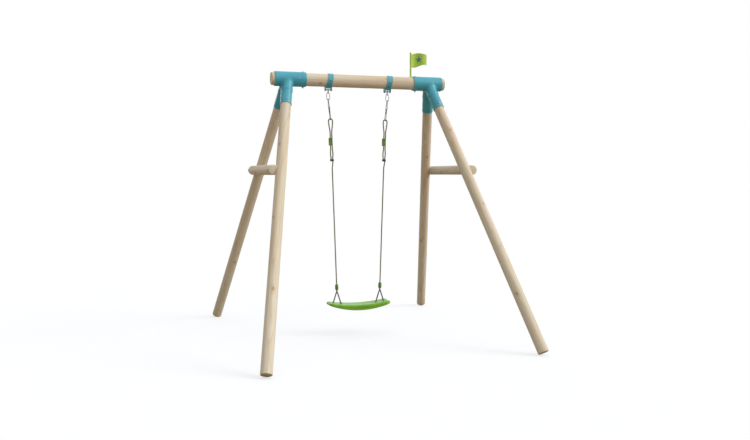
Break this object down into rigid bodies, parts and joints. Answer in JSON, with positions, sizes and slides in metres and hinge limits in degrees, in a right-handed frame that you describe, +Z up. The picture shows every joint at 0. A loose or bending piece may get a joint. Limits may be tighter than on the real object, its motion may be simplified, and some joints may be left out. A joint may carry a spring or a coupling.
{
  "type": "swing set",
  "caption": "Freestanding round-pole wooden swing frame with moulded A-frame brackets, strap hangers, snap hooks, adjustable ropes and a curved plank seat.",
  "frame": {"origin": "on the ground plane under the middle of the crossbeam", "axes": "+X along the crossbeam towards the flag end, +Y the way the swing moves, away from the front, +Z up"},
  "size_m": [2.0516, 2.3836, 2.253],
  "materials": {
    "wood": "smooth machined round softwood pole, pressure treated, faint green tint",
    "teal_coating": "teal powder coat, satin",
    "zinc": "zinc plated",
    "dark_metal": "dark moulded clamp",
    "rope": "laid polyhemp rope",
    "green_plastic": "moulded, satin",
    "seat_plastic": "moulded, fine grain",
    "flag_plastic": "moulded, satin",
    "nylon": "plain nylon bush"
  },
  "bodies": {
    "frame": {"beam_bolt_left": "zinc", "beam_bolt_right": "zinc", "beam_nut_left": "zinc", "beam_nut_right": "zinc", "bracket_left": "teal_coating", "bracket_right": "teal_coating", "crossbeam": "wood", "flag": "flag_plastic", "hanger_left": "teal_coating", "hanger_right": "teal_coating", "hanger_screw_left": "zinc", "hanger_screw_right": "zinc", "leg_back_left": "wood", "leg_back_right": "wood", "leg_bolt_back_left": "zinc", "leg_bolt_back_right": "zinc", "leg_bolt_front_left": "zinc", "leg_bolt_front_right": "zinc", "leg_front_left": "wood", "leg_front_right": "wood", "leg_nut_back_left": "zinc", "leg_nut_back_right": "zinc", "leg_nut_front_left": "zinc", "leg_nut_front_right": "zinc", "pivot_bolt_left": "zinc", "pivot_bolt_right": "zinc", "pivot_bush_left": "nylon", "pivot_bush_right": "nylon", "pivot_nut_left": "zinc", "pivot_nut_right": "zinc", "sleeve_screw_left": "zinc", "sleeve_screw_right": "zinc", "spreader_bolt_back_left": "zinc", "spreader_bolt_back_right": "zinc", "spreader_bolt_front_left": "zinc", "spreader_bolt_front_right": "zinc", "spreader_left": "wood", "spreader_right": "wood"},
    "chain_left": {"top_link_left": "zinc", "oval_link_left": "zinc"},
    "rope_run_left": {"snap_hook_left": "zinc", "swivel_eye_left": "zinc", "rope_left": "rope", "rope_clip_left": "dark_metal"},
    "gate_left": {"hook_gate_left": "zinc"},
    "adjuster_left": {"rope_adjuster_left": "green_plastic"},
    "sleeve_left": {"rope_sleeve_left": "green_plastic"},
    "chain_right": {"top_link_right": "zinc", "oval_link_right": "zinc"},
    "rope_run_right": {"snap_hook_right": "zinc", "swivel_eye_right": "zinc", "rope_right": "rope", "rope_clip_right": "dark_metal"},
    "gate_right": {"hook_gate_right": "zinc"},
    "adjuster_right": {"rope_adjuster_right": "green_plastic"},
    "sleeve_right": {"rope_sleeve_right": "green_plastic"},
    "seat_body": {"seat": "seat_plastic", "seat_loop_left": "rope", "seat_loop_right": "rope"}
  },
  "joints": [
    {"name": "swing", "type": "hinge", "parent": "frame", "child": "chain_left", "pos_m": [-0.26, 0, 1.933], "axis": [1, 0, 0], "range_deg": [-60, 60]},
    {"name": "sway", "type": "hinge", "parent": "chain_left", "child": "rope_run_left", "pos_m": [-0.26, 0, 1.85875], "axis": [0, 1, 0], "range_deg": [-8, 8]},
    {"name": "hook_gate_left", "type": "hinge", "parent": "rope_run_left", "child": "gate_left", "pos_m": [-0.25848, -0.00904, 1.84561], "axis": [0.9934, 0, 0.1149], "range_deg": [0, 22], "stiffness_Nm_per_rad": 0.01},
    {"name": "adjuster_slide_left", "type": "slide", "parent": "rope_run_left", "child": "adjuster_left", "axis": [-0.0348, 0, 0.9994], "range_m": [-0.02, 0.032]},
    {"name": "seat_level", "type": "hinge", "parent": "rope_run_left", "child": "sleeve_left", "pos_m": [-0.1971, 0, 0.4], "axis": [0, 1, 0], "range_deg": [-11, 11]},
    {"name": "swing_right", "type": "hinge", "parent": "frame", "child": "chain_right", "pos_m": [0.228, 0, 1.933], "axis": [1, 0, 0], "range_deg": [-60, 60]},
    {"name": "sway_right", "type": "hinge", "parent": "chain_right", "child": "rope_run_right", "pos_m": [0.228, 0, 1.85875], "axis": [0, 1, 0], "range_deg": [-8, 8]},
    {"name": "hook_gate_right", "type": "hinge", "parent": "rope_run_right", "child": "gate_right", "pos_m": [0.22648, -0.00904, 1.84561], "axis": [0.9934, 0, -0.1149], "range_deg": [0, 22], "stiffness_Nm_per_rad": 0.01},
    {"name": "adjuster_slide_right", "type": "slide", "parent": "rope_run_right", "child": "adjuster_right", "axis": [0.0348, 0, 0.9994], "range_m": [-0.02, 0.032]},
    {"name": "sleeve_level_right", "type": "hinge", "parent": "rope_run_right", "child": "sleeve_right", "pos_m": [0.1651, 0, 0.4], "axis": [0, 1, 0], "range_deg": [-11, 11]},
    {"name": "seat_pitch", "type": "hinge", "parent": "sleeve_left", "child": "seat_body", "pos_m": [-0.016, 0, 0.361], "axis": [1, 0, 0], "range_deg": [-25, 25]}
  ],
  "couplings": [
    {"joint": "seat_level", "follows": "sway", "ratio": -1.35},
    {"joint": "sleeve_level_right", "follows": "sway", "ratio": -1.35},
    {"joint": "swing_right", "follows": "swing", "ratio": 1},
    {"joint": "sway_right", "follows": "sway", "ratio": 1}
  ]
}
